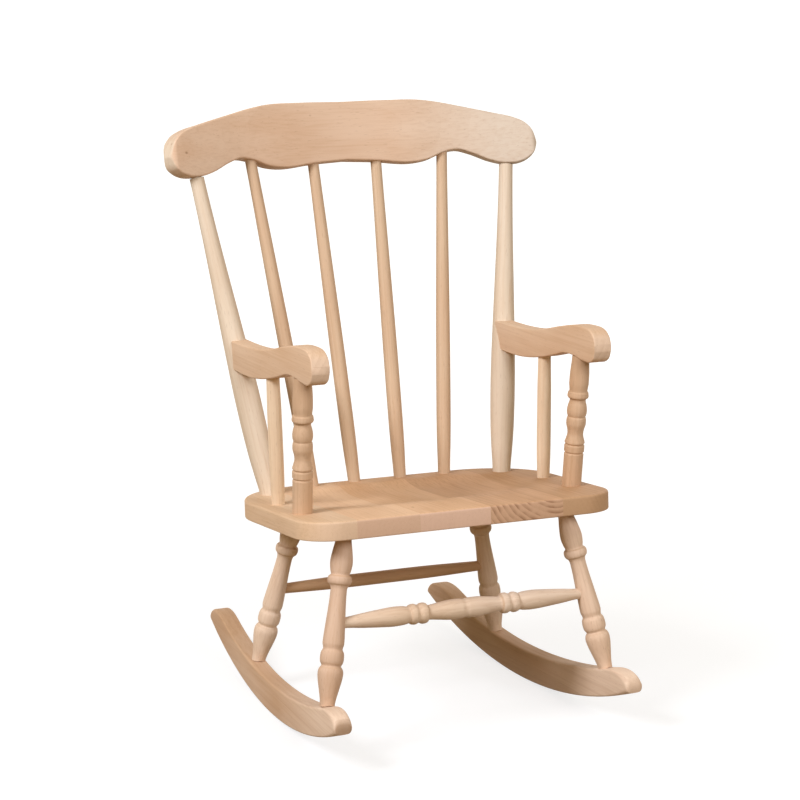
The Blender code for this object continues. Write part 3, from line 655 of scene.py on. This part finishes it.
def build_rocker(label, side, wood):
    """A runner sawn to an arc from a straight-grained board, its top corners rounded over at both ends."""
    across = Vector((side, 0.0, 0.0))
    width = ROCKER_THICKNESS / math.cos(ROCKER_TOE)
    fine = ((ROCKER_FRONT_Y, ROCKER_NOSE), (ROCKER_BACK_Y, -ROCKER_TAIL))
    rings = []
    for y in steps_between(ROCKER_FRONT_Y, ROCKER_BACK_Y, ROCKER_STEP, fine):
        low = ROCKER_RADIUS - math.sqrt(ROCKER_RADIUS**2 - (y - ROCKER_LOW_Y) ** 2)
        high = rocker_high(y)
        edge = ROCKER_EDGE
        thickness = width
        ends = (
            (y - ROCKER_FRONT_Y, ROCKER_NOSE, ROCKER_NOSE_FALL, ROCKER_NOSE_SANDING),
            (ROCKER_BACK_Y - y, ROCKER_TAIL, ROCKER_TAIL_FALL, ROCKER_TAIL_SANDING),
        )
        for reach, round_over, fall, (end_edge, end_round) in ends:
            if reach < round_over:
                into = 1 - max(reach, 0.0) / round_over
                high -= arc_fall(into) * fall * (high - low)
                edge += (end_edge - ROCKER_EDGE) * into**2
            thickness -= 2 * end_round * arc_fall(max(0.0, 1 - max(reach, 0.0) / end_round))
        bottom = rocker_point(side, y, low)
        rings.append(board_section(bottom, rocker_point(side, y, high), across, thickness, edge))
    grain = rocker_point(side, -1.0, 0.0) - rocker_point(side, 0.0, 0.0)
    finish_piece("rocker_" + label, skin(rings), grain, across, [wood])


def leg_ends(side, top, foot_y):
    """Where a leg leaves the seat's underside and meets its rocker, and the rocker's top there."""
    start = seat_top(side * top[0], top[1]) - SEAT_NORMAL * SEAT_THICKNESS
    middle = rocker_point(side, foot_y, rocker_high(foot_y) - LEG_FOOT_TENON / 2)
    away = foot_y - ROCKER_TOP_LOW_Y
    normal = Vector((0.0, -away, math.sqrt(rocker_top_radius(foot_y) ** 2 - away**2))).normalized()
    spot = rocker_point(side, foot_y, rocker_high(foot_y))
    axis = (middle - start).normalized()
    end = start + axis * ((spot - start).dot(normal) / axis.dot(normal))
    return start, end, (spot, normal)


def build_leg(name, side, top, foot_y, wood):
    """A turned leg, its foot cut to the runner's top and its tenon going on into it."""
    start, end, (spot, normal) = leg_ends(side, top, foot_y)
    turn_piece(name, start, end, LEG_PROFILE, wood, (spot + normal * SHOULDER_GAP, normal))


def build_stretcher(name, half_profile, top, foot_y, drop, wood):
    """A rung between two legs, turned alike both ways from its middle.

    drop is how far down the legs it sits, as a share of their length.
    """
    start, end, _ = leg_ends(1.0, top, foot_y)
    tip = start.lerp(end, drop)
    far = Vector((-tip.x, tip.y, tip.z))
    profile = [(0.5 - share / 2, size) for share, size in reversed(half_profile)]
    profile += [(0.5 + share / 2, size) for share, size in half_profile[1:]]
    turn_piece(name, far, tip, profile, wood, sunk=STRETCHER_DEPTH)


def crest_across(x):
    """Direction through the crest rail's thickness at x."""
    flat = Vector((x / CREST_BOW_RADIUS, 1.0, 0.0)).normalized()
    return Vector((flat.x, flat.y * math.cos(CREST_LEAN), -math.sin(CREST_LEAN))).normalized()


def crest_point(x, z):
    """Point of the crest rail's middle surface at x and height z."""
    y = CREST_Y - x * x / (2 * CREST_BOW_RADIUS) + math.tan(CREST_LEAN) * (z - CREST_REFERENCE_Z)
    return Vector((x, y, z))


def crest_low_point(x):
    """Point of the crest rail's scalloped lower edge at x."""
    return crest_point(x, curve_through(CREST_LOW_EDGE, abs(x)))


def crest_shoulder(x, radius):
    """A point on the flat just under the crest rail's lower edge around x, and its downward normal."""
    edge = [crest_low_point(x + radius * share) for share in (-1.0, -0.5, 0.0, 0.5, 1.0)]
    normal = (edge[-1] - edge[0]).cross(crest_across(x)).normalized()
    if normal.z > 0.0:
        normal = -normal
    return edge[2] + normal * max((point - edge[2]).dot(normal) for point in edge), normal


def build_crest(wood):
    """The crest rail, bowed and leaning back, its ends rounded off to front and back."""
    fine = ((-CREST_HALF_LENGTH, CREST_FINE), (CREST_HALF_LENGTH, -CREST_FINE))
    rings = []
    for x in steps_between(-CREST_HALF_LENGTH, CREST_HALF_LENGTH, BOARD_STEP, fine):
        high = crest_point(x, curve_through(CREST_TOP_EDGE, abs(x)))
        into = max(0.0, 1 - (CREST_HALF_LENGTH - abs(x)) / CREST_END_ROUND)
        thickness = CREST_THICKNESS - 2 * CREST_END_ROUND * arc_fall(min(into, 1.0))
        rings.append(board_section(crest_low_point(x), high, crest_across(x), thickness, CREST_EDGE))
    finish_piece("crest_rail", skin(rings), (1.0, 0.0, 0.0), CREST_FACE, [wood])


def build_upright(name, side, base, top_x, profile, wood, shouldered):
    """A turning from the seat up into the crest rail, its top cut to the scallop if it is shouldered."""
    start = seat_top(side * base[0], base[1])
    spot, normal = crest_shoulder(side * top_x, profile[-1][1] / 2)
    shoulder = (spot + normal * SHOULDER_GAP, normal) if shouldered else None
    turn_piece(name, start, spot, profile, wood, shoulder)


def arm_low(y):
    """Height of an arm's lower edge at y."""
    return curve_through(ARM_LOW_EDGE, y - ARM_FRONT_Y)


def build_arm(label, side, wood):
    """An arm sawn to a scroll, its back end carried on to the middle of the round post that it joins."""
    post_base = seat_top(side * POST_BASE[0], POST_BASE[1])
    post_top, _ = crest_shoulder(side * POST_TOP_X, POST_PROFILE[-1][1] / 2)
    axis = (post_top - post_base).normalized()
    middle_z = (ARM_TOP_EDGE[-1][1] + ARM_LOW_EDGE[-1][1]) / 2
    on_axis = post_base + axis * ((middle_z - post_base.z) / axis.z)
    across = Vector((side, 0.0, 0.0))
    length = on_axis.y - ARM_FRONT_Y
    rings = []
    for along in steps_between(0.0, length, BOARD_STEP, ((0.0, ARM_FINE),)):
        low = Vector((side * ARM_X, ARM_FRONT_Y + along, curve_through(ARM_LOW_EDGE, along)))
        high = Vector((side * ARM_X, ARM_FRONT_Y + along, curve_through(ARM_TOP_EDGE, along)))
        rings.append(board_section(low, high, across, ARM_THICKNESS, ARM_EDGE))
    finish_piece("arm_" + label, skin(rings), (0.0, 1.0, 0.0), across, [wood])


def build_arm_support(name, side, base, top_y, profile, wood):
    """A turning from the seat up into an arm, its top cut to the slope of the arm's lower edge."""
    start = seat_top(side * base[0], base[1])
    radius = profile[-1][1] / 2
    front = arm_low(top_y - radius)
    back = arm_low(top_y + radius)
    spot = Vector((side * ARM_X, top_y, (front + back) / 2))
    normal = Vector((0.0, (back - front) / (2 * radius), -1.0)).normalized()
    turn_piece(name, start, spot, profile, wood, (spot, normal))


# The chair

def build_chair():
    """Every piece of the chair, cut from the stock."""
    woods = {}
    for name, stock in STOCK.items():
        woods[name] = rubberwood("rubberwood_" + name, *stock, painted_light=PAINTED_PALE_LIGHT.get(name))
    build_seat([woods[f"stave_{i + 1}"] for i in range(len(STAVE_JOINTS) + 1)])
    build_crest(woods["crest"])
    for label, side in SIDES:
        front_leg = "front_leg_" + label
        rear_leg = "rear_leg_" + label
        build_rocker(label, side, woods["rocker_" + label])
        build_leg(front_leg, side, FRONT_LEG_TOP, FRONT_LEG_FOOT_Y, woods[front_leg])
        build_leg(rear_leg, side, REAR_LEG_TOP, REAR_LEG_FOOT_Y, woods[rear_leg])
        build_upright("back_post_" + label, side, POST_BASE, POST_TOP_X, POST_PROFILE, woods["posts"], True)
        build_upright(
            "back_spindle_outer_" + label, side, OUTER_SPINDLE_BASE, OUTER_SPINDLE_TOP_X, SPINDLE_PROFILE,
            woods["spindles"], False,
        )
        build_upright(
            "back_spindle_inner_" + label, side, INNER_SPINDLE_BASE, INNER_SPINDLE_TOP_X, SPINDLE_PROFILE,
            woods["spindles"], False,
        )
        build_arm(label, side, woods["arms"])
        build_arm_support(
            "arm_post_" + label, side, ARM_POST_BASE, ARM_POST_TOP_Y, ARM_POST_PROFILE, woods["arm_posts"]
        )
        build_arm_support(
            "arm_spindle_" + label, side, ARM_SPINDLE_BASE, ARM_SPINDLE_TOP_Y, ARM_SPINDLE_PROFILE,
            woods["arm_spindles"],
        )
    build_stretcher(
        "front_stretcher", FRONT_STRETCHER_HALF, FRONT_LEG_TOP, FRONT_LEG_FOOT_Y, FRONT_STRETCHER_DROP,
        woods["front_stretcher"],
    )
    build_stretcher(
        "rear_stretcher", REAR_STRETCHER_HALF, REAR_LEG_TOP, REAR_LEG_FOOT_Y, REAR_STRETCHER_DROP,
        woods["rear_stretcher"],
    )


# Studio

CAMERA_SPOT = (-1206.6, -2662.6, 935.2)
CAMERA_TURN = math.radians(-24.25)
CAMERA_DROP = math.radians(11.0)
LENS = 111.4
SENSOR_WIDTH = 36.0
# soft square lamps: where each stands and how wide it is, both in metres, and its power in watts
LAMPS = {
    "key": ((-2.26, -0.70, 2.15), 1.1, 76.0),
    "front": ((0.40, -2.80, 1.80), 1.2, 48.0),
    "behind": ((2.30, 1.90, 1.60), 1.2, 18.0),
}
LAMP_TINT = "#f3f5ff"
# what the lamps are turned to, in metres
LIT_POINT = Vector((0.0, 0.0, 0.35))
WHITE = "#ffffff"
ROOM_FILL = "#ffe3a6"
ROOM_FILL_LEVEL = 0.3
FLOOR_SEEN = "#959595"
FLOOR_BOUNCE = "#806a45"
# in metres: how far the floor goes, and where its own white begins to grow and is full
FLOOR_REACH = 40.0
FLOOR_WHITE_FROM = 0.3
FLOOR_WHITE_FULL = 2.5
FLOOR_WHITE_NEAR = 0.75


def set_camera():
    """The photograph's viewpoint, fitted to the chair drawn level, so it tips with the chair."""
    camera = bpy.data.objects.new("camera", bpy.data.cameras.new("camera"))
    bpy.context.scene.collection.objects.link(camera)
    camera.data.lens = LENS
    camera.data.sensor_width = SENSOR_WIDTH
    look = Euler((math.pi / 2 - CAMERA_DROP, 0.0, CAMERA_TURN)).to_matrix().to_4x4()
    camera.matrix_world = TIP @ Matrix.Translation(Vector(CAMERA_SPOT) * MM) @ look
    bpy.context.scene.camera = camera


def add_lamp(name, place, width, power):
    """A square soft lamp standing at place, in metres, and turned towards the seat."""
    lamp = bpy.data.lights.new(name, "AREA")
    lamp.size = width
    lamp.energy = power
    lamp.color = linear(LAMP_TINT)[:3]
    stand = bpy.data.objects.new(name, lamp)
    stand.location = place
    stand.rotation_euler = (stand.location - LIT_POINT).to_track_quat("Z", "Y").to_euler()
    bpy.context.scene.collection.objects.link(stand)


def seen_directly(tree):
    """1 where the camera looks, also by way of gloss or glass, and 0 for light that falls on the chair."""
    path = node(tree, "LightPath").outputs
    mirrored = node(
        tree, "Math", {0: path["Is Camera Ray"], 1: path["Is Glossy Ray"]}, operation="MAXIMUM"
    )
    return node(
        tree, "Math", {0: mirrored.outputs[0], 1: path["Is Transmission Ray"]}, operation="MAXIMUM"
    ).outputs[0]


def light_studio():
    """A soft key from the left, a weaker lamp in front, a faint one behind, and warm fill off the room."""
    for name, (place, width, power) in LAMPS.items():
        add_lamp(name, place, width, power)
    world = bpy.data.worlds.new("room")
    bpy.context.scene.world = world
    world.use_nodes = True
    tree = world.node_tree
    back = tree.nodes["Background"]
    seen = seen_directly(tree)
    tint = node(tree, "Mix", {0: seen, 6: linear(ROOM_FILL), 7: linear(WHITE)}, data_type="RGBA")
    level = node(tree, "MapRange", {"Value": seen, "To Min": ROOM_FILL_LEVEL, "To Max": 1.0})
    tree.links.new(tint.outputs[2], back.inputs["Color"])
    tree.links.new(level.outputs[0], back.inputs["Strength"])


def lay_floor():
    """A dull pale studio floor that reads as near white and still takes the chair's soft shadow."""
    mesh = bpy.data.meshes.new("floor")
    corners = [(x * FLOOR_REACH, y * FLOOR_REACH, 0.0) for x, y in ((-1, -1), (1, -1), (1, 1), (-1, 1))]
    mesh.from_pydata(corners, [], [(0, 1, 2, 3)])
    floor = bpy.data.objects.new("floor", mesh)
    bpy.context.scene.collection.objects.link(floor)
    paint = bpy.data.materials.new("pale_floor_paint")
    paint.use_nodes = True
    tree = paint.node_tree
    shader = tree.nodes["Principled BSDF"]
    shader.inputs["Roughness"].default_value = 0.95
    shader.inputs["Emission Color"].default_value = linear(WHITE)
    seen = seen_directly(tree)
    # the light it throws back up is warm, as off boards
    colour = node(tree, "Mix", {0: seen, 6: linear(FLOOR_BOUNCE), 7: linear(FLOOR_SEEN)}, data_type="RGBA")
    tree.links.new(colour.outputs[2], shader.inputs["Base Color"])
    # further off, where the lamps no longer reach, it fades into the white of the room
    off = node(
        tree, "VectorMath", {0: node(tree, "NewGeometry").outputs["Position"]}, operation="LENGTH"
    )
    white = node(
        tree, "MapRange",
        {
            "Value": off.outputs["Value"], "From Min": FLOOR_WHITE_FROM, "From Max": FLOOR_WHITE_FULL,
            "To Min": FLOOR_WHITE_NEAR, "To Max": 1.0,
        },
    )
    glow = node(tree, "Math", {0: seen, 1: white.outputs[0]}, operation="MULTIPLY")
    tree.links.new(glow.outputs[0], shader.inputs["Emission Strength"])
    mesh.materials.append(paint)


set_camera()
build_chair()
light_studio()
lay_floor()
bpy.context.scene.view_settings.view_transform = "Standard"
